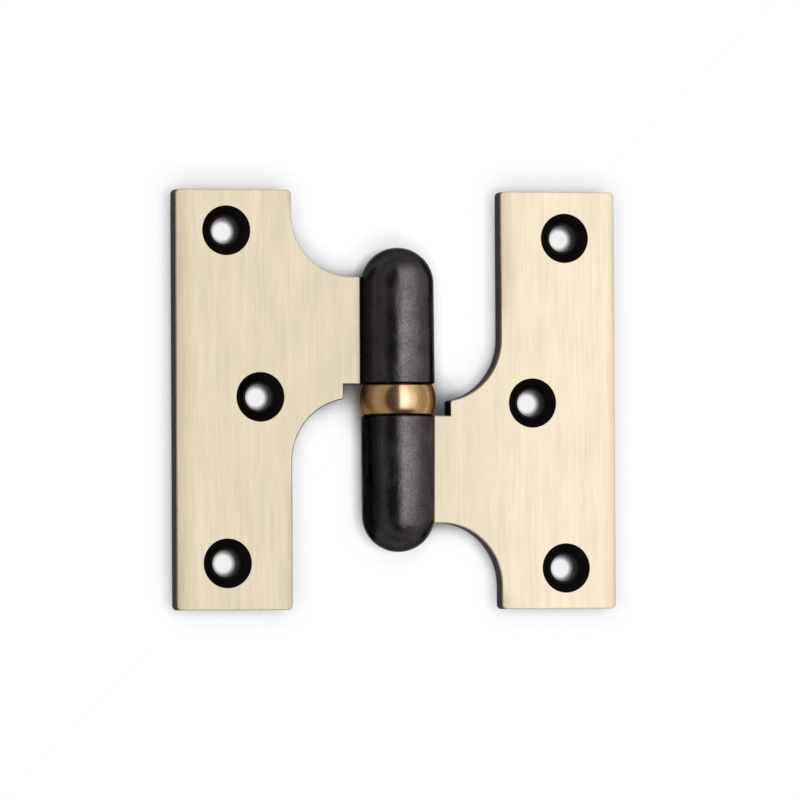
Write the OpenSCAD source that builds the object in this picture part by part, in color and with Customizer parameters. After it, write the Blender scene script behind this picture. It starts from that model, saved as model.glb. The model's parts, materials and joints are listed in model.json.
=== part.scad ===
// Lift-off barrel hinge, lying open and flat on its back.
// X runs across the two leaves, Y along the pin towards the upper knuckle, and Z up out of the brushed faces.
// The origin is on the pin's axis, half way between the two knuckles.
// Both halves have one form. It is drawn as the lower half, whose leaf lies on the +X side and whose knuckle
// points to -Y, and is turned half round Z for the upper half.

/* [Leaf plate] */
// Height of a leaf, along the pin
leaf_h = 90; // [84:1:110]
// From the pin's axis to the outer edge of a leaf
leaf_reach = 49; // [46:0.5:60]
// Width of the flange that carries the screws
flange_w = 25.6; // [23:0.2:27]
// Thickness of a leaf
leaf_t = 4.5; // [3.5:0.1:5.5]
// How far the brushed face lies behind the pin's axis
face_drop = 0.5; // [0.3:0.1:1.5]
// From the middle of the hinge to the far edge of a leaf's neck
neck_far = 26.4; // [22:0.2:28]
// From the middle of the hinge to the near edge of a leaf's neck
neck_near = 0.3; // [0.2:0.1:1.6]
// Radius of the two hollow corners between neck and flange
scoop_r = 13.5; // [11:0.5:14.5]
// Space between the ring and the notch in the neck beside it
notch_gap = 3.75; // [2:0.05:4.5]
// Radius of the flange's four corners in plan
corner_r = 1; // [0.6:0.1:2]
// Radius of the outside corner where the notch meets the hollow corner
notch_r = 0.7; // [0.3:0.1:1]
// Width of the small bevel along the edges of both faces
edge_break = 0.2; // [0.1:0.05:0.5]

/* [Screw holes] */
// Distance along the pin from each screw hole to the next
screw_pitch = 35.6; // [32:0.2:36.4]
// How far the row of screw holes is moved from mid-height, towards the end where the leaf's own neck is
screw_shift = 0.6; // [0:0.1:1.5]
// Centres of the first and last hole, from the outer edge
screw_edge = 11.2; // [8:0.2:14]
// Centre of the middle hole, from the outer edge
screw_edge_middle = 18.6; // [16:0.2:21]
// Diameter of the straight hole for the screw's shank
screw_d = 5.8; // [4.5:0.1:6]
// Width of the flat shoulder round the hole, at the foot of the countersink
shoulder_w = 0.45; // [0.2:0.05:0.8]
// Diameter of the countersink at the face
countersink_d = 10.5; // [9:0.1:12]
// Angle of the countersink, from side to side
countersink_angle = 90; // [82:1:100]

/* [Knuckles] */
// Height of the barrel, from the tip of one dome to the tip of the other
barrel_h = 65.4; // [62:0.2:76]
// Diameter of a knuckle beside the ring
knuckle_d = 16; // [15:0.1:18]
// How much thinner a knuckle is where its dome starts
knuckle_taper = 0.15; // [0:0.05:0.5]
// Radius of the rim at a knuckle's open end
rim_r = 0.5; // [0.2:0.05:0.8]
// Thickness of the solder between a knuckle and the end of its leaf
solder = 0.03; // [0.02:0.01:0.1]

/* [Ring] */
// Largest diameter of the crowned ring between the knuckles
ring_d = 16.3; // [15.5:0.1:18.5]
// Height of the ring
ring_h = 6.5; // [4:0.1:8]
// How far the ring's side bulges between its two ends
ring_crown = 0.78; // [0.3:0.02:1]
// Play between the ring and each knuckle
end_play = 0.1; // [0.1:0.05:0.4]
// Play round the pin inside the ring
ring_play = 0.15; // [0.1:0.05:0.3]

/* [Pin] */
// Diameter of the pin
pin_d = 9; // [7:0.1:10]
// How deep the pin is pressed into the lower knuckle
pin_grip = 18; // [14:0.5:19]
// How far the pin reaches into the upper knuckle
pin_reach = 16; // [10:0.5:18]
// Bevel at both ends of the pin
pin_bevel = 0.8; // [0.4:0.1:1.5]
// Running play round the pin in the upper knuckle
pin_play = 0.05; // [0.02:0.01:0.1]
// Straight bore left beyond each end of the pin
bore_spare = 0.8; // [0.4:0.1:1.5]
// Bevel at the mouth of the bore in each knuckle
mouth_bevel = 0.5; // [0.3:0.1:1]
// Angle of the drill's point at the foot of both bores
drill_angle = 118; // [90:1:135]

/* [Hidden] */
$fn = 96;

// Colours of the brushed faces, the oxidised knuckles, the ring and the pin
brushed_brass = [0.88, 0.82, 0.72];
dark_bronze = [0.17, 0.15, 0.15];
satin_brass = [0.76, 0.6, 0.38];
plain_steel = [0.7, 0.7, 0.72];

// How far a cutter runs past the surface that it opens
past = 0.5;

// How far the wall of a rounded corner stands proud of the two walls that it joins, so that it crosses them
lap = 0.03;

// Plan of a leaf, measured from the pin's axis and from the middle of the hinge
flange_x = leaf_reach - flange_w;
scoop_x = flange_x - scoop_r;
scoop_near_y = scoop_r - neck_near;
scoop_far_y = -neck_far - scoop_r;
knuckle_end = ring_h / 2 + end_play;
notch_x = ring_d / 2 + notch_gap;

// Centre of the rounding between the notch and the hollow corner, which touches both walls
notch_corner = [
    notch_x + notch_r,
    scoop_near_y - sqrt(pow(scoop_r + notch_r, 2) - pow(notch_x + notch_r - scoop_x, 2))
];

// Depth of the countersink down to its shoulder
shoulder_r = screw_d / 2 + shoulder_w;
countersink_depth = (countersink_d / 2 - shoulder_r) / tan(countersink_angle / 2);

// Centres of the three screw holes of the lower leaf
screws = [
    [leaf_reach - screw_edge, -screw_shift - screw_pitch],
    [leaf_reach - screw_edge_middle, -screw_shift],
    [leaf_reach - screw_edge, -screw_shift + screw_pitch]
];

// A knuckle is turned from bar: its radius where the dome starts, and that level
dome_r = knuckle_d / 2 - knuckle_taper;
dome_start = barrel_h / 2 - dome_r;

// Radius of the circle that crowns the ring, from the height and the bulge of its side
crown_r = (pow(ring_h / 2, 2) + pow(ring_crown, 2)) / (2 * ring_crown);

// Steps of the rounded rim, in degrees
rim_step = 30;

module half_turn() {
    rotate([0, 0, 180])
        children();
}

// Stands a turned piece along the pin, with its foot at the middle of the hinge and its top towards -Y
module along_pin() {
    rotate([90, 0, 0])
        children();
}

// Section of a slab of the plate between two walls, with all four edges bevelled; the face is at level 0
function slab_section(from, to) = [
    [from, -edge_break],
    [from + edge_break, 0],
    [to - edge_break, 0],
    [to, -edge_break],
    [to, edge_break - leaf_t],
    [to - edge_break, -leaf_t],
    [from + edge_break, -leaf_t],
    [from, edge_break - leaf_t]
];

// Section of the post that fills a rounded corner, from its centre out to the rounded wall
function post_section(radius) = [
    [0, 0],
    [radius - edge_break, 0],
    [radius, -edge_break],
    [radius, edge_break - leaf_t],
    [radius - edge_break, -leaf_t],
    [0, -leaf_t]
];

// Section of a cut through the plate that leaves a wall with both edges bevelled
function cut_section(open_side, wall) = [
    [open_side, past],
    [wall + edge_break + past, past],
    [wall, -edge_break],
    [wall, edge_break - leaf_t],
    [wall + edge_break + past, -leaf_t - past],
    [open_side, -leaf_t - past]
];

// Straight cut along a line in plan, with the metal that stays on the left of the line
module straight_cut(start, finish, width) {
    run = finish - start;
    translate([start.x, start.y, 0])
        rotate([90, 0, 90 + atan2(run.y, run.x)])
            linear_extrude(norm(run))
                polygon(cut_section(-width, 0));
}

// Round cut that leaves a hollow corner
module round_cut(centre, radius) {
    translate([centre.x, centre.y, 0])
        rotate_extrude()
            polygon(cut_section(0, radius));
}

// The flange that carries the screws: two crossed slabs, and a post in each corner
module flange() {
    post_y = leaf_h / 2 - corner_r;
    post_x = [flange_x + corner_r, leaf_reach - corner_r];
    translate([0, post_y, 0])
        rotate([90, 0, 0])
            linear_extrude(2 * post_y)
                polygon(slab_section(flange_x, leaf_reach));
    translate([post_x[0], 0, 0])
        rotate([90, 0, 90])
            linear_extrude(post_x[1] - post_x[0])
                polygon(slab_section(-leaf_h / 2, leaf_h / 2));
    for (x = post_x)
        for (y = [-post_y, post_y])
            translate([x, y, 0])
                rotate_extrude()
                    polygon(post_section(corner_r));
}

// Takes the sharp corner off between the notch and the hollow corner, and leaves a rounded one
module notch_corner_cut() {
    away = notch_corner - [scoop_x, scoop_near_y];
    reach = -(notch_r + past) * away / norm(away);
    translate([notch_corner.x, notch_corner.y, 0])
        difference() {
            translate([0, 0, -leaf_t - past])
                linear_extrude(leaf_t + 2 * past)
                    polygon([[0, 0], reach, [-notch_r - past, reach.y], [-notch_r - past, 0]]);
            rotate_extrude()
                polygon(post_section(notch_r + lap));
        }
}

// The neck between flange and knuckle, with a hollow corner at each side and a notch beside the ring
module neck() {
    depth = scoop_near_y - scoop_far_y;
    difference() {
        translate([0, scoop_far_y, -leaf_t])
            cube([flange_x + corner_r, depth, leaf_t]);
        round_cut([scoop_x, scoop_far_y], scoop_r);
        straight_cut([-past, -neck_far], [scoop_x, -neck_far], scoop_r + past);
        round_cut([scoop_x, scoop_near_y], scoop_r);
        intersection() {
            straight_cut([notch_x, scoop_near_y + past], [notch_x, -knuckle_end - leaf_t], notch_x + past);
            straight_cut([notch_x + leaf_t, -knuckle_end], [-past, -knuckle_end], depth);
        }
        notch_corner_cut();
    }
}

module screw_hole() {
    flare = past * tan(countersink_angle / 2);
    rotate_extrude()
        polygon([
            [0, past],
            [countersink_d / 2 + flare, past],
            [shoulder_r, -countersink_depth],
            [screw_d / 2, -countersink_depth],
            [screw_d / 2, -leaf_t - past],
            [0, -leaf_t - past]
        ]);
}

// Half section of a dome of this radius, at the place of the one that ends a knuckle
module dome_section(r) {
    translate([0, dome_start])
        intersection() {
            circle(r);
            square(r);
        }
}

// Half section of a knuckle, from its rounded rim to the tip of its dome
module knuckle_section() {
    r = knuckle_d / 2;
    polygon([
        [0, knuckle_end],
        for (a = [0 : rim_step : 90])
            [r - rim_r * (1 - sin(a)), knuckle_end + rim_r * (1 - cos(a))],
        [dome_r, dome_start],
        [0, dome_start]
    ]);
    dome_section(dome_r);
}

// Half section of the seat that the leaf's end is scribed to, which takes in the solder round the knuckle
module seat_section() {
    r = knuckle_d / 2 + solder;
    foot_r = dome_r + solder;
    polygon([[0, 0], [r, 0], [r, knuckle_end], [foot_r, dome_start], [0, dome_start]]);
    dome_section(foot_r);
}

// Blind bore from a knuckle's open end, with a bevelled mouth and the drill's point at its foot
module knuckle_bore(r, depth) {
    foot = knuckle_end + depth;
    along_pin()
        rotate_extrude()
            polygon([
                [0, knuckle_end - past],
                [r + mouth_bevel + past, knuckle_end - past],
                [r, knuckle_end + mouth_bevel],
                [r, foot],
                [0, foot + r / tan(drill_angle / 2)]
            ]);
}

module knuckle(bore_r, bore_depth) {
    difference() {
        along_pin()
            rotate_extrude()
                knuckle_section();
        knuckle_bore(bore_r, bore_depth);
    }
}

// A leaf plate, with its end scribed to the knuckle that it is soldered to
module leaf() {
    difference() {
        translate([0, 0, -face_drop])
            difference() {
                union() {
                    flange();
                    neck();
                }
                for (centre = screws)
                    translate([centre.x, centre.y, 0])
                        screw_hole();
            }
        along_pin()
            rotate_extrude()
                seat_section();
    }
}

module lower_leaf() {
    color(brushed_brass)
        leaf();
}

module upper_leaf() {
    color(brushed_brass)
        half_turn()
            leaf();
}

module lower_knuckle() {
    color(dark_bronze)
        knuckle(pin_d / 2, pin_grip + bore_spare);
}

module upper_knuckle() {
    color(dark_bronze)
        half_turn()
            knuckle(pin_d / 2 + pin_play, pin_reach + bore_spare);
}

// The pin, from its foot in the lower knuckle to its top in the upper one
module hinge_pin() {
    r = pin_d / 2;
    foot = knuckle_end + pin_grip;
    top = -knuckle_end - pin_reach;
    color(plain_steel)
        along_pin()
            rotate_extrude()
                polygon([
                    [0, foot],
                    [r - pin_bevel, foot],
                    [r, foot - pin_bevel],
                    [r, top + pin_bevel],
                    [r - pin_bevel, top],
                    [0, top]
                ]);
}

module ring() {
    bore_r = pin_d / 2 + ring_play;
    color(satin_brass)
        along_pin()
            rotate_extrude()
                intersection() {
                    translate([ring_d / 2 - crown_r, 0])
                        circle(crown_r);
                    translate([bore_r, -ring_h / 2])
                        square([ring_d, ring_h]);
                }
}

lower_leaf();
lower_knuckle();
hinge_pin();
ring();
upper_leaf();
upper_knuckle();
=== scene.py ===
"""Dresses a lift-off barrel hinge: brushed brass leaves, oxidised knuckles and a satin brass ring.

The hinge lies open on its back on a white table. X runs across the leaves, Y along the pin and Z up out
of the brushed faces, in metres, with the origin on the pin's axis half way between the knuckles.
"""

import json
import math

import bpy
from bpy.props import FloatProperty, FloatVectorProperty, PointerProperty
from bpy.types import Operator, Panel, PropertyGroup
from mathutils import Matrix, Vector


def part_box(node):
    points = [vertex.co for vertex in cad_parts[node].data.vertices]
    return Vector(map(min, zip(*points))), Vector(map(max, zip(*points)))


bl_info = {
    "name": "Barrel Hinge Finishes",
    "version": (1, 0, 0),
    "blender": (4, 5, 0),
    "location": "3D View > Sidebar > Hinge",
    "description": "Dresses a lift-off barrel hinge in brushed brass and dark bronze",
    "category": "Object",
}

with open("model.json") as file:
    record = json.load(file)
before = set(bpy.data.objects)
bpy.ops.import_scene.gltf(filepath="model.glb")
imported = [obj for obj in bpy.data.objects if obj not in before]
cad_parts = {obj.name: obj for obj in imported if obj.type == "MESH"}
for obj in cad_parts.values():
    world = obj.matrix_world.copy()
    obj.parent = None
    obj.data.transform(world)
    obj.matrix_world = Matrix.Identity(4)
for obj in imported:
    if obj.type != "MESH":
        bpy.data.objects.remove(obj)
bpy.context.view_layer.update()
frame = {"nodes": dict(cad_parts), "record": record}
MM = 0.001

# Levels of the brushed faces and of the table, from the solids
FACE_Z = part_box("lower_leaf")[1].z
TABLE_Z = min(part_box(name)[0].z for name in frame["nodes"])

# Outer edge of a leaf, mouth and radius of a knuckle, and half the ring's height, from the solids
LEAF_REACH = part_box("lower_leaf")[1].x
MOUTH_Y = -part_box("lower_knuckle")[1].y
KNUCKLE_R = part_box("lower_knuckle")[1].x
RING_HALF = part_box("ring")[1].y

WHITE = (1.0, 1.0, 1.0)
BLACK = (0.0, 0.0, 0.0)

# Tints of the brass along a scratch, and of the painted shade along the edges
SCRATCH_TINT = (1.08, 1.07, 1.0)
EDGE_SHADE_TINT = (0.76, 0.74, 0.68)

# Where the ring's painted sheen is palest, as a direction from the pin
PALEST = (-0.156, 0.0, 0.988)


def lower_leaf_screws():
    """Plan positions of the lower leaf's three screw holes, from the record's mounts."""
    mounts = {mount["name"]: mount for mount in frame["record"]["mounts"]}
    ends = mounts["lower_leaf_end_screws"]
    middle = mounts["lower_leaf_middle_screw"]["pos_m"]
    half = ends["dims"]["spacing_y_mm"] * MM / 2
    x, y = ends["pos_m"][:2]
    return [(x, y - half), (x, y + half), (middle[0], middle[1])]


def colour_property(name, description, default):
    return FloatVectorProperty(
        name=name, description=description, default=default, size=3, subtype="COLOR", min=0.0, max=1.0
    )


def factor_property(name, description, default):
    return FloatProperty(
        name=name, description=description, default=default, subtype="FACTOR", min=0.0, max=1.0
    )


class HingeLeafSettings(PropertyGroup):
    """Finish of the two leaves"""

    bright: colour_property("Brushed brass", "Colour of the brushed faces", (0.905, 0.792, 0.606))
    shade: colour_property("Brush lines", "Colour of the darker brush lines", (0.67, 0.583, 0.42))
    grey: colour_property("Grey patches", "Tint of the greyer patches of the faces", (0.945, 0.945, 0.99))
    oxide: colour_property("Oxide", "Colour of the edges, backs and countersinks", (0.032, 0.027, 0.025))
    roughness: factor_property("Roughness", "Roughness of the brushed faces", 0.38)
    flange_width: FloatProperty(
        name="Flange width", description="Width of the part with the screws", default=25.6 * MM, unit="LENGTH"
    )
    neck_near: FloatProperty(
        name="Neck, near side",
        description="Where the straight inner edge starts on the side of the ring",
        default=13.2 * MM,
        unit="LENGTH",
    )
    neck_far: FloatProperty(
        name="Neck, far side",
        description="Where the straight inner edge starts on the side of the dome",
        default=39.9 * MM,
        unit="LENGTH",
    )
    # Painted shade along the edges of the faces, wider on the edges that face left
    edge_shade_left: FloatProperty(
        name="Left edge",
        description="How far in from its left edge a face is brushed less",
        default=4.5 * MM,
        unit="LENGTH",
    )
    edge_shade_right: FloatProperty(
        name="Right edge",
        description="How far in from its right edge a face is brushed less",
        default=1.6 * MM,
        unit="LENGTH",
    )
    sink_radius: FloatProperty(
        name="Countersink radius",
        description="Radius of the dark countersinks",
        default=5.3 * MM,
        unit="LENGTH",
    )
    seam: FloatProperty(
        name="Dark seam",
        description="Width of the unbrushed corner beside a knuckle",
        default=0.35 * MM,
        unit="LENGTH",
    )


class HingeKnuckleSettings(PropertyGroup):
    """Finish of the two knuckles"""

    metal: colour_property("Dark bronze", "Colour of the oxidised knuckles", (0.14, 0.124, 0.134))
    roughness: factor_property("Roughness", "Roughness of the oxidised knuckles", 0.16)
    # Width of the painted shade at the mouth
    rim: FloatProperty(
        name="Dark rim", description="Width of the darker rim at the mouth", default=0.5 * MM, unit="LENGTH"
    )


class HingeRingSettings(PropertyGroup):
    """Finish of the ring and the pin"""

    brass: colour_property("Satin brass", "Colour of the turned ring", (0.95, 0.68, 0.475))
    # Tint of the painted shade down the ring's sides
    brown: colour_property("Browner sides", "Tint of the sides of the ring", (0.7, 0.6, 0.4))
    steel: colour_property("Steel", "Colour of the ground pin", (0.56, 0.56, 0.58))
    roughness: factor_property("Roughness", "Roughness of the turned ring", 0.2)


class HingeStageSettings(PropertyGroup):
    """Table, lamps and camera"""

    view_yaw: FloatProperty(
        name="View yaw",
        description="Turn of the camera to the left",
        default=math.radians(16.07),
        unit="ROTATION",
    )
    view_pitch: FloatProperty(
        name="View pitch", description="Tilt of the camera", default=math.radians(1.5), unit="ROTATION"
    )
    view_roll: FloatProperty(
        name="View roll", description="Roll of the camera", default=math.radians(0.3), unit="ROTATION"
    )
    distance: FloatProperty(
        name="Distance", description="From the camera to the hinge", default=1.935, unit="LENGTH"
    )
    aside: FloatProperty(
        name="Aside", description="How far the view's middle is to the right", default=0.49 * MM, unit="LENGTH"
    )
    above: FloatProperty(
        name="Above", description="How far the view's middle is above", default=-0.03 * MM, unit="LENGTH"
    )
    lens: FloatProperty(
        name="Lens", description="Focal length in millimetres", default=405.5, unit="CAMERA"
    )
    shadow_near: FloatProperty(
        name="Near shadow",
        description="How far the hinge strongly darkens the table round it",
        default=3.8 * MM,
        unit="LENGTH",
    )
    shadow_far: FloatProperty(
        name="Far shadow",
        description="How far the hinge faintly darkens the table on its right",
        default=7.0 * MM,
        unit="LENGTH",
    )
    pocket_reach: FloatProperty(
        name="Pocket reach",
        description="How far the walls are that darken a narrow pocket of the table",
        default=12.0 * MM,
        unit="LENGTH",
    )
    spot_shift: FloatProperty(
        name="Spot shift",
        description="How far to the right the light falls that comes through the screw holes",
        default=1.0 * MM,
        unit="LENGTH",
    )
    world_level: FloatProperty(name="World", description="Strength of the even light", default=0.065, min=0.0)
    key_level: FloatProperty(name="Key", description="Strength of the lamp overhead", default=1.5, min=0.0)
    side_level: FloatProperty(name="Side", description="Strength of the side lamp", default=0.95, min=0.0)
    low_level: FloatProperty(name="Low", description="Strength of the lowest lamp", default=0.5, min=0.0)
    wall_level: FloatProperty(name="Walls", description="Strength of the pale walls", default=0.46, min=0.0)


class NodeWork:
    """The nodes of a material or a world under construction."""

    def __init__(self, tree):
        self.nodes = tree.nodes
        self.links = tree.links

    def add(self, kind, sockets=None, **settings):
        """Adds a node; sockets gives its inputs by name or number, as a value or as another socket."""
        made = self.nodes.new("ShaderNode" + kind)
        for name, value in settings.items():
            setattr(made, name, value)
        for key, value in (sockets or {}).items():
            if isinstance(value, bpy.types.NodeSocket):
                self.links.new(value, made.inputs[key])
            else:
                made.inputs[key].default_value = value
        return made

    def millimetres(self, scale=(1.0, 1.0, 1.0)):
        """The piece's own coordinates in millimetres, stretched by scale along each axis."""
        place = self.add("TexCoord").outputs["Object"]
        return self.add("Mapping", {"Vector": place, "Scale": [s / MM for s in scale]}).outputs["Vector"]

    def noise(self, scale, detail=3.0, roughness=0.5):
        """Noise from 0 to 1 whose grain is 1 / scale millimetres along each axis."""
        sockets = {"Vector": self.millimetres(scale), "Scale": 1.0, "Detail": detail, "Roughness": roughness}
        return self.add("TexNoise", sockets).outputs["Fac"]

    def distance(self, first, second):
        """How far apart two points are."""
        return self.add("VectorMath", {0: first, 1: second}, operation="DISTANCE").outputs["Value"]

    def ramp(self, value, low, high, to_low=0.0, to_high=1.0, smooth=False):
        """Takes the range low to high onto to_low to to_high, and holds it at both ends."""
        sockets = {"Value": value, 1: low, 2: high, 3: to_low, 4: to_high}
        kind = "SMOOTHSTEP" if smooth else "LINEAR"
        return self.add("MapRange", sockets, interpolation_type=kind).outputs["Result"]

    def varied(self, value, low, high, middle, spread):
        """A number that strays from middle by spread, either way, as value goes from low to high."""
        return self.ramp(value, low, high, middle - spread, middle + spread)

    def maths(self, operation, first, second=0.0):
        """One of the Math node's operations on one or two values."""
        return self.add("Math", {0: first, 1: second}, operation=operation).outputs[0]

    def total(self, *values):
        """The sum of some values."""
        result = values[0]
        for value in values[1:]:
            result = self.maths("ADD", result, value)
        return result

    def product(self, *values):
        """Some values multiplied together."""
        result = values[0]
        for value in values[1:]:
            result = self.maths("MULTIPLY", result, value)
        return result

    def mix(self, factor, first, second):
        """Goes from the first colour to the second."""
        return self.add("Mix", {0: factor, 6: first, 7: second}, data_type="RGBA").outputs[2]

    def tinted(self, colour, tint):
        """A colour through a tinted glass."""
        sockets = {0: 1.0, 6: colour, 7: tone(tint)}
        return self.add("Mix", sockets, data_type="RGBA", blend_type="MULTIPLY").outputs[2]

    def mix_value(self, factor, first, second):
        """Goes from the first number to the second."""
        return self.add("Mix", {0: factor, 2: first, 3: second}, data_type="FLOAT").outputs[0]

    def bump(self, height, distance, normal=None):
        """The surface raised by height, from 0 to 1, times distance, on top of an earlier normal."""
        sockets = {"Height": height, "Distance": distance}
        if normal:
            sockets["Normal"] = normal
        return self.add("Bump", sockets).outputs["Normal"]


class Material(NodeWork):
    """A node material under construction."""

    def __init__(self, name):
        self.material = bpy.data.materials.new(name)
        self.material.use_nodes = True
        super().__init__(self.material.node_tree)
        self.nodes.clear()
        self.output = self.nodes.new("ShaderNodeOutputMaterial")

    def show(self, shader):
        """Ends the material with a shader."""
        self.links.new(shader.outputs[0], self.output.inputs["Surface"])
        return self.material

    def metal(self, sockets):
        """Ends the material as bare metal, with these values on the shader's other sockets."""
        return self.show(self.add("BsdfPrincipled", {"Metallic": 1.0, **sockets}))


def tone(colour, level=1.0):
    """A colour made lighter or darker, for a socket."""
    return (*[c * level for c in colour], 1.0)


def edge_shade(made, settings, x, along, side):
    """Painted shade beside the edges of a leaf that face left (side -1) or right (side 1)."""
    width = (settings.edge_shade_left if side < 0 else settings.edge_shade_right) / MM
    outer, inner = LEAF_REACH / MM, (LEAF_REACH - settings.flange_width) / MM
    outer_edge = made.ramp(x, side * (outer - width), side * outer)

    # The flange's inner edge, and nothing of the neck beyond it
    inner_edge = made.ramp(x, -side * (inner + width), -side * inner)
    inner_edge = made.product(inner_edge, made.ramp(x, -side * (inner - 0.5), -side * (inner - 0.4)))

    # It starts past the neck, and grows gradually darker from there
    neck_near, neck_far = settings.neck_near / MM, -settings.neck_far / MM
    near_part = made.ramp(along, neck_near - 1.0, neck_near + 9.0, smooth=True)
    far_part = made.ramp(along, neck_far + 1.0, neck_far - 4.0, smooth=True)
    inner_edge = made.product(inner_edge, made.maths("MAXIMUM", near_part, far_part))
    falloff = 1.5
    return made.maths("POWER", made.maths("MAXIMUM", outer_edge, inner_edge), falloff)


def countersinks(made, settings, plan):
    """1 inside the countersinks, which the brush doesn't reach."""
    edge, soft = settings.sink_radius / MM, 0.05
    sunk = 0.0
    for x, y in lower_leaf_screws():
        away = made.distance(plan, (x / MM, y / MM, 0.0))
        sunk = made.maths("MAXIMUM", made.ramp(away, edge + soft, edge), sunk)
    return sunk


def walls(made, depth):
    """1 from below the small bevel, which the brushing takes in, with a slightly ragged limit."""
    bevel, soft, stray = 0.2, 0.08, 0.05
    rubbed = made.noise((1.2, 0.6, 1.2), detail=4.0)
    ragged = made.total(depth, made.ramp(rubbed, 0.3, 0.7, -stray, stray))
    return made.ramp(ragged, bevel, bevel + soft)


def brushed_brass(made, settings, level, fine):
    """Brass under brush lines of three sizes, with patches of a greyer tone and a few scratches."""
    middle = made.noise((1.7, 0.06, 1.7), detail=4.0, roughness=0.6)
    broad = made.noise((0.4, 0.02, 0.4), detail=3.0)
    shares = ((fine, 0.4), (middle, 0.4), (broad, 0.2))
    lines = made.total(*[made.ramp(size, 0.3, 0.7, 0.0, share) for size, share in shares])
    brass = made.mix(lines, tone(settings.shade, level), tone(settings.bright, level))
    patches = made.ramp(made.noise((0.16, 0.06, 0.16), detail=4.0, roughness=0.6), 0.45, 0.62)
    brass = made.mix(patches, brass, made.tinted(brass, settings.grey))
    scratches = made.ramp(made.noise((3.2, 0.07, 3.2), detail=1.0), 0.69, 0.74)
    return made.mix(made.product(scratches, 0.5), brass, made.tinted(brass, SCRATCH_TINT))


def oxide_skin(made, settings, grime, sunk):
    """Dark oxide with a few spots rubbed through, and even darker in the countersinks."""
    specks = made.ramp(made.noise((3.5, 3.5, 3.5), detail=2.0), 0.68, 0.74)
    oxide = made.mix(made.ramp(grime, 0.35, 0.65), tone(settings.oxide, 0.7), tone(settings.oxide, 1.35))
    oxide = made.mix(made.product(specks, 0.3), oxide, tone(settings.shade))
    return made.mix(sunk, oxide, tone(settings.oxide, 0.6))


def leaf_material(settings, name, level, beside, beside_light_tint):
    """Face brushed bright along the pin; edges, back and countersinks left dark.

    level paints the whole brass lighter or darker, as painted light. Beside the knuckle, over beside
    millimetres, the face takes on another tint, which is painted shade or painted light.
    """
    made = Material(name)
    place = made.add("SeparateXYZ", {0: made.millimetres()}).outputs
    depth = made.maths("SUBTRACT", FACE_Z / MM, place["Z"])

    # The upper leaf is the lower one turned half round, so both use the lower leaf's plan
    reach = made.maths("ABSOLUTE", place["X"])
    along = made.product(place["Y"], made.maths("SIGN", place["X"]))
    plan = made.add("CombineXYZ", {0: reach, 1: along}).outputs[0]
    from_pin = made.maths("SQRT", made.total(made.product(reach, reach), made.product(place["Z"], place["Z"])))
    seam_r = (KNUCKLE_R + settings.seam) / MM

    # Dark where the brush doesn't reach
    sunk = countersinks(made, settings, plan)
    corner = made.ramp(from_pin, seam_r, seam_r - 0.08)
    dark_part = made.maths("MAXIMUM", made.maths("MAXIMUM", walls(made, depth), corner), sunk)

    # Painted shade along the long edges, wider on the edges that face left
    fine = made.noise((3.4, 0.1, 3.4), detail=4.0, roughness=0.6)
    brass = brushed_brass(made, settings, level, fine)
    left = edge_shade(made, settings, place["X"], along, -1)
    right = edge_shade(made, settings, place["X"], along, 1)
    brass = made.mix(made.maths("MAXIMUM", left, right), brass, made.tinted(brass, EDGE_SHADE_TINT))
    # Painted shade or painted light beside the knuckle
    brass = made.mix(made.ramp(from_pin, seam_r + beside, seam_r), brass, made.tinted(brass, beside_light_tint))

    # Oxide is rougher than brass
    grime = made.noise((1.6, 1.6, 1.6), detail=5.0)
    rough_dark = made.ramp(grime, 0.3, 0.7, 0.45, 0.6)
    rough_face = made.varied(fine, 0.25, 0.75, settings.roughness, 0.07)
    return made.metal(
        {
            "Base Color": made.mix(dark_part, brass, oxide_skin(made, settings, grime, sunk)),
            "Roughness": made.mix_value(dark_part, rough_face, rough_dark),
            "Specular Tint": tone((0.7, 0.7, 0.7)),
            "Anisotropic": 0.35,
            "Tangent": made.add("Tangent", direction_type="RADIAL", axis="Y").outputs[0],
            "Normal": made.bump(fine, 0.004 * MM),
        }
    )


def painted_shade_by_facing(made, left, right):
    """Painted shade on a knuckle by which way it faces: none on its upper side, more low down on either side
    and some on the dome.

    Low down on either side, left and right give how much of the metal's lightness is kept.
    """
    facing = made.add("SeparateXYZ", {0: made.add("TexCoord").outputs["Normal"]}).outputs
    upper = made.ramp(facing["Z"], 0.66, 0.97, 0.37, 1.0, smooth=True)
    upper = made.product(upper, made.ramp(facing["X"], -0.8, -0.66, left, 1.0))
    barrel = made.maths("MAXIMUM", upper, made.ramp(facing["X"], 0.55, 0.7, 0.0, right))
    return made.product(barrel, made.ramp(made.maths("ABSOLUTE", facing["Y"]), 0.35, 0.6, 1.0, 0.8))


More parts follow.
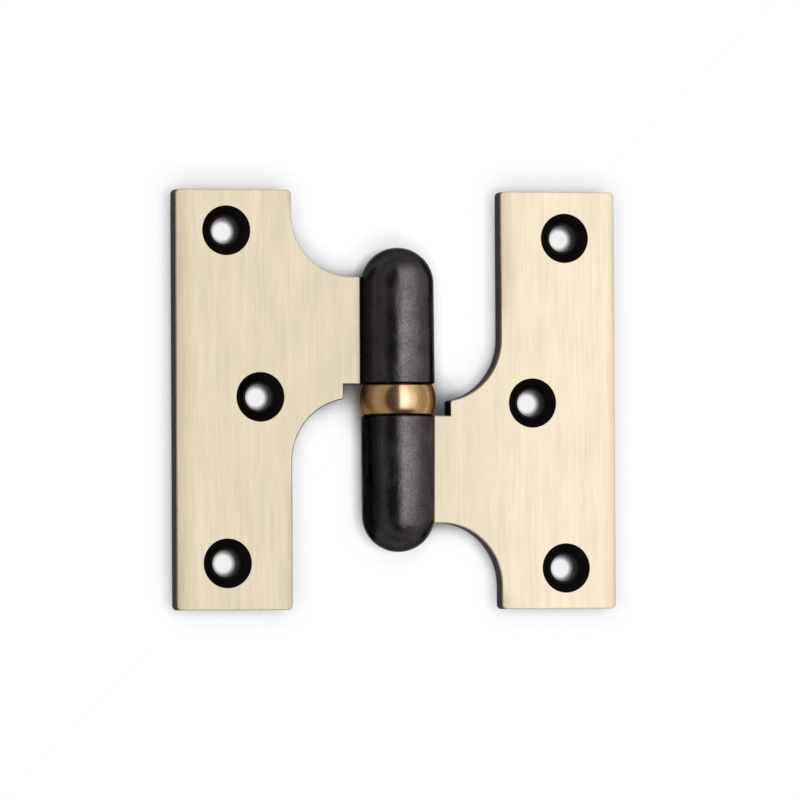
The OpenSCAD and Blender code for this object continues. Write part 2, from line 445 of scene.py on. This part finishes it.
def knuckle_material(settings, name, left, right):
    """Oxidised bronze, turned smooth, with a grain that shows along its highlight, and painted shade by which
    way it faces and at its mouth.
    """
    made = Material(name)
    grain = made.noise((2.6, 2.6, 2.6), detail=4.0, roughness=0.75)
    cloud = made.noise((0.22, 0.16, 0.22), detail=2.0)
    shades = made.ramp(made.total(grain, made.product(cloud, 0.5)), 0.53, 0.97)
    colour = made.mix(shades, tone(settings.metal, 0.52), tone(settings.metal, 1.45))

    # Painted shade: the rim of the mouth is almost black, as the gap to the ring lies in shade
    place = made.add("SeparateXYZ", {0: made.millimetres()}).outputs
    from_middle = made.maths("ABSOLUTE", place["Y"])
    rim_end, rim_dark = MOUTH_Y + settings.rim, MOUTH_Y + 0.4 * settings.rim
    mouth = made.ramp(from_middle, rim_end / MM, rim_dark / MM)
    off_rim = made.maths("SUBTRACT", 1.0, made.product(mouth, 0.85))
    # Painted shade by which way the knuckle faces, and at the rim of its mouth
    colour = made.mix(made.product(painted_shade_by_facing(made, left, right), off_rim), tone(BLACK), colour)

    # Grain and ripples, fainter in some patches, on wide shallow waves
    patches = made.ramp(made.noise((0.3, 0.16, 0.3), detail=2.0), 0.4, 0.62)
    ripples = made.noise((1.3, 1.9, 1.3), detail=4.0, roughness=0.65)
    rough = made.total(made.product(ripples, 1.4), grain)
    rough = made.product(rough, made.ramp(patches, 0.0, 1.0, 0.45, 1.0))
    waves = made.noise((0.6, 0.35, 0.6), detail=2.0)
    return made.metal(
        {
            "Base Color": colour,
            "Roughness": made.varied(grain, 0.3, 0.7, settings.roughness, 0.04),
            "Specular Tint": tone((0.4, 0.4, 0.4)),
            "Normal": made.bump(rough, 0.055 * MM, made.bump(waves, 0.02 * MM)),
        }
    )


def ring_material(settings):
    """Satin brass with fine turning lines round it, with a painted sheen on its upper side and painted shade
    down the sides, on the right and at both ends.
    """
    made = Material("turned_ring")
    turned = made.noise((0.08, 9.0, 0.08), detail=4.0, roughness=0.6)
    cloud = made.noise((0.35, 0.5, 0.35), detail=3.0)
    shades = made.ramp(made.total(turned, cloud), 0.75, 1.25)
    colour = made.mix(shades, tone(settings.brass, 0.94), tone(settings.brass, 1.05))

    # Painted sheen: pale on the upper side, and browner down the sides
    normal = made.add("TexCoord").outputs["Normal"]
    upper = made.add("VectorMath", {0: normal, 1: PALEST}, operation="DOT_PRODUCT").outputs["Value"]
    colour = made.mix(made.ramp(upper, 0.9, 1.0), made.tinted(colour, settings.brown), colour)

    # Painted shade: darker low down and on the right, and almost black at both ends by the gaps to the
    # knuckles
    facing = made.add("SeparateXYZ", {0: normal}).outputs
    low = made.ramp(facing["Z"], 0.25, 0.62, 0.45, 0.0)
    right = made.ramp(facing["X"], 0.6, 0.8, 0.0, 0.5)
    place = made.add("SeparateXYZ", {0: made.millimetres()}).outputs
    from_middle = made.maths("ABSOLUTE", place["Y"])
    ends = made.ramp(from_middle, RING_HALF / MM - 0.3, RING_HALF / MM - 0.05)
    dark = made.maths("MAXIMUM", made.product(ends, 0.8), made.total(low, right))
    colour = made.mix(dark, colour, tone(settings.brass, 0.02))
    rough = made.total(
        made.ramp(turned, 0.3, 0.7, settings.roughness - 0.04, settings.roughness + 0.06),
        made.ramp(facing["Z"], 0.6, 0.85, 0.2, 0.0),
    )
    return made.metal(
        {
            "Base Color": colour,
            "Roughness": rough,
            "Specular Tint": tone((0.3, 0.24, 0.18)),
            "Normal": made.bump(turned, 0.0004 * MM),
        }
    )


def pin_material(settings):
    """Ground steel with fine grinding lines round it."""
    made = Material("ground_pin")
    ground = made.noise((0.1, 6.0, 0.1), detail=3.0)
    return made.metal(
        {
            "Base Color": made.mix(ground, tone(settings.steel, 0.9), tone(settings.steel, 1.06)),
            "Roughness": made.ramp(ground, 0.3, 0.7, 0.2, 0.32),
            "Normal": made.bump(ground, 0.003 * MM),
        }
    )


def dress(name, material):
    """Gives a solid its finish."""
    materials = frame["nodes"][name].data.materials
    materials.clear()
    materials.append(material)


class HINGE_OT_finish_leaves(Operator):
    """Brush the faces of both leaves and darken their edges, backs and countersinks"""

    bl_idname = "hinge.finish_leaves"
    bl_label = "Finish the leaves"

    def execute(self, context):
        settings = context.scene.hinge_leaf
        # Painted light: the lower leaf is painted lighter and the upper darker; beside the knuckle the lower
        # leaf gets painted shade and the upper painted light
        lower = leaf_material(
            settings, "brushed_lower_leaf", level=1.12, beside=26.0, beside_light_tint=(0.85, 0.85, 0.86)
        )
        upper = leaf_material(
            settings, "brushed_upper_leaf", level=0.91, beside=2.6, beside_light_tint=(1.17, 1.17, 1.18)
        )
        dress("lower_leaf", lower)
        dress("upper_leaf", upper)
        return {"FINISHED"}


class HINGE_OT_finish_knuckles(Operator):
    """Oxidise both knuckles"""

    bl_idname = "hinge.finish_knuckles"
    bl_label = "Finish the knuckles"

    def execute(self, context):
        settings = context.scene.hinge_knuckle
        # Painted shade differs between the knuckles: the lower one darker low on its left, with a lighter
        # painted rim on its right
        lower = knuckle_material(settings, "oxidised_lower_knuckle", left=0.35, right=1.0)
        upper = knuckle_material(settings, "oxidised_upper_knuckle", left=1.0, right=0.3)
        dress("lower_knuckle", lower)
        dress("upper_knuckle", upper)
        return {"FINISHED"}


class HINGE_OT_finish_ring(Operator):
    """Turn the ring in satin brass"""

    bl_idname = "hinge.finish_ring"
    bl_label = "Finish the ring"

    def execute(self, context):
        dress("ring", ring_material(context.scene.hinge_ring))
        return {"FINISHED"}


class HINGE_OT_finish_pin(Operator):
    """Grind the pin bright"""

    bl_idname = "hinge.finish_pin"
    bl_label = "Finish the pin"

    def execute(self, context):
        dress("hinge_pin", pin_material(context.scene.hinge_ring))
        return {"FINISHED"}


def open_sky(made, reach, left, south=0.0, samples=4):
    """How open the sky is over the table within reach, round a direction that leans left and south.

    left and south are in degrees.
    """
    up = Vector((-math.tan(math.radians(left)), -math.tan(math.radians(south)), 1.0)).normalized()
    up = made.add("CombineXYZ", {0: up.x, 1: up.y, 2: up.z}).outputs[0]
    sockets = {"Distance": reach, "Normal": up}
    return made.add("AmbientOcclusion", sockets, samples=samples).outputs["AO"]


def open_table(made, settings):
    """How much light reaches the table: 1 out in the open, less beside the hinge and in narrow pockets."""
    near_depth, far_depth = 1.8, 0.6
    near = made.maths("POWER", open_sky(made, settings.shadow_near, left=17, south=20), near_depth)
    far = made.maths("POWER", open_sky(made, settings.shadow_far, left=43, south=28), far_depth)
    closed, wide_open, darkest = 0.355, 0.545, 0.14
    pocket_sky = open_sky(made, settings.pocket_reach, left=15, samples=16)
    return made.product(near, far, made.ramp(pocket_sky, closed, wide_open, darkest, 1.0))


def lit_spots(made, settings):
    """1 where light comes down on the table through the screw holes of both leaves."""
    outside, inside = 3.2, 1.6
    lit = 0.0
    for x, y in lower_leaf_screws():
        for turned in (1, -1):
            centre = (turned * x / MM + settings.spot_shift / MM, turned * y / MM, TABLE_Z / MM)
            away = made.distance(made.millimetres(), centre)
            lit = made.maths("MAXIMUM", made.ramp(away, outside, inside, smooth=True), lit)
    return lit


def table_material(settings):
    """White, with the hinge's soft shadow, which is faint in the spots under the screw holes."""
    made = Material("white_table")
    faint = 0.06
    strength = made.ramp(lit_spots(made, settings), 0.0, 1.0, 1.0, faint)
    light = made.maths("POWER", open_table(made, settings), strength)
    white = made.add("Emission", {"Color": made.mix(light, tone(BLACK), tone(WHITE))})
    lit = made.add("BsdfDiffuse", {"Color": tone((0.97, 0.97, 0.97))})
    path = made.add("LightPath").outputs
    seen = made.maths("MAXIMUM", path["Is Camera Ray"], path["Is Glossy Ray"])
    seen = made.maths("MAXIMUM", seen, path["Is Transmission Ray"])
    above = made.add("MixShader", {0: seen, 1: lit.outputs[0], 2: white.outputs[0]}).outputs[0]

    # From below the table is clear, so that the hinge's back shows
    below = made.add("NewGeometry").outputs["Backfacing"]
    clear = made.add("BsdfTransparent").outputs[0]
    return made.show(made.add("MixShader", {0: below, 1: above, 2: clear}))


def add_table(settings):
    """A wide white table under the hinge."""
    half = 6.0
    corners = [(-half, -half), (half, -half), (half, half), (-half, half)]
    mesh = bpy.data.meshes.new("table")
    mesh.from_pydata([(x, y, TABLE_Z) for x, y in corners], [], [(0, 1, 2, 3)])
    table = bpy.data.objects.new("table", mesh)
    bpy.context.scene.collection.objects.link(table)
    mesh.materials.append(table_material(settings))


def add_lamp(name, start, end, level, height=0.6, south=-0.36, north=0.74):
    """A soft box that fills the angles from start to end, in degrees from overhead towards +X."""
    start, end = math.radians(start), math.radians(end)
    middle = (start + end) / 2
    width = 2 * height * math.tan((end - start) / 2)
    lamp = bpy.data.lights.new(name, "AREA")
    lamp.shape = "RECTANGLE"
    lamp.size = width
    lamp.size_y = north - south
    lamp.energy = level * math.pi * width * (north - south)
    holder = bpy.data.objects.new(name, lamp)
    holder.location = (height * math.sin(middle), (south + north) / 2, height * math.cos(middle))
    holder.rotation_euler = (0.0, middle, 0.0)
    bpy.context.scene.collection.objects.link(holder)


def add_world(settings):
    """Even light from all round, stronger below the top of the studio's pale walls."""
    world = bpy.data.worlds.new("studio")
    bpy.context.scene.world = world
    world.use_nodes = True
    made = NodeWork(world.node_tree)
    height = made.add("SeparateXYZ", {0: made.add("TexCoord").outputs["Generated"]}).outputs["Z"]
    wall_top, ceiling = 0.5, 0.6
    level = made.ramp(height, wall_top, ceiling, settings.wall_level, settings.world_level, smooth=True)

    # The camera itself sees it white
    background = made.nodes["Background"]
    background.inputs["Color"].default_value = tone(WHITE)
    seen = made.maths("MAXIMUM", made.add("LightPath").outputs["Is Camera Ray"], level)
    made.links.new(seen, background.inputs["Strength"])


def add_camera(settings):
    """Looks down on the hinge from slightly to the left, as the photograph does."""
    turn = (
        Matrix.Rotation(-settings.view_yaw, 3, "Y")
        @ Matrix.Rotation(settings.view_pitch, 3, "X")
        @ Matrix.Rotation(-settings.view_roll, 3, "Z")
    )
    place = Vector((settings.aside, settings.above, settings.distance))
    data = bpy.data.cameras.new("camera")
    data.sensor_width = 36.0
    data.lens = settings.lens
    data.clip_end = 50.0
    camera = bpy.data.objects.new("camera", data)
    camera.matrix_world = Matrix.Translation(turn @ place) @ turn.to_4x4()
    bpy.context.scene.collection.objects.link(camera)
    bpy.context.scene.camera = camera


class HINGE_OT_set_stage(Operator):
    """Lay the table, hang the lamps and place the camera"""

    bl_idname = "hinge.set_stage"
    bl_label = "Set the stage"

    def execute(self, context):
        settings = context.scene.hinge_stage
        add_table(settings)
        add_world(settings)
        add_lamp("overhead", start=-9, end=19, level=settings.key_level)
        add_lamp("right", start=19, end=45, level=settings.side_level)
        add_lamp("low_right", start=45, end=57, level=settings.low_level)
        add_camera(settings)
        context.scene.view_settings.view_transform = "Standard"
        return {"FINISHED"}


class HINGE_PT_dressing(Panel):
    """Lists the steps that dress the hinge"""

    bl_idname = "HINGE_PT_dressing"
    bl_label = "Barrel Hinge"
    bl_space_type = "VIEW_3D"
    bl_region_type = "UI"
    bl_category = "Hinge"

    def draw(self, context):
        layout = self.layout
        for step in STEPS:
            layout.operator(step.bl_idname)


STEPS = (
    HINGE_OT_set_stage,
    HINGE_OT_finish_leaves,
    HINGE_OT_finish_knuckles,
    HINGE_OT_finish_ring,
    HINGE_OT_finish_pin,
)
SETTINGS = {
    "hinge_leaf": HingeLeafSettings,
    "hinge_knuckle": HingeKnuckleSettings,
    "hinge_ring": HingeRingSettings,
    "hinge_stage": HingeStageSettings,
}


def register():
    for name, group in SETTINGS.items():
        bpy.utils.register_class(group)
        setattr(bpy.types.Scene, name, PointerProperty(type=group))
    for step in STEPS:
        bpy.utils.register_class(step)
    bpy.utils.register_class(HINGE_PT_dressing)


def unregister():
    bpy.utils.unregister_class(HINGE_PT_dressing)
    for step in reversed(STEPS):
        bpy.utils.unregister_class(step)
    for name, group in SETTINGS.items():
        delattr(bpy.types.Scene, name)
        bpy.utils.unregister_class(group)


def main():
    register()
    bpy.ops.hinge.set_stage()
    bpy.ops.hinge.finish_leaves()
    bpy.ops.hinge.finish_knuckles()
    bpy.ops.hinge.finish_ring()
    bpy.ops.hinge.finish_pin()


if __name__ == "__main__":
    main()
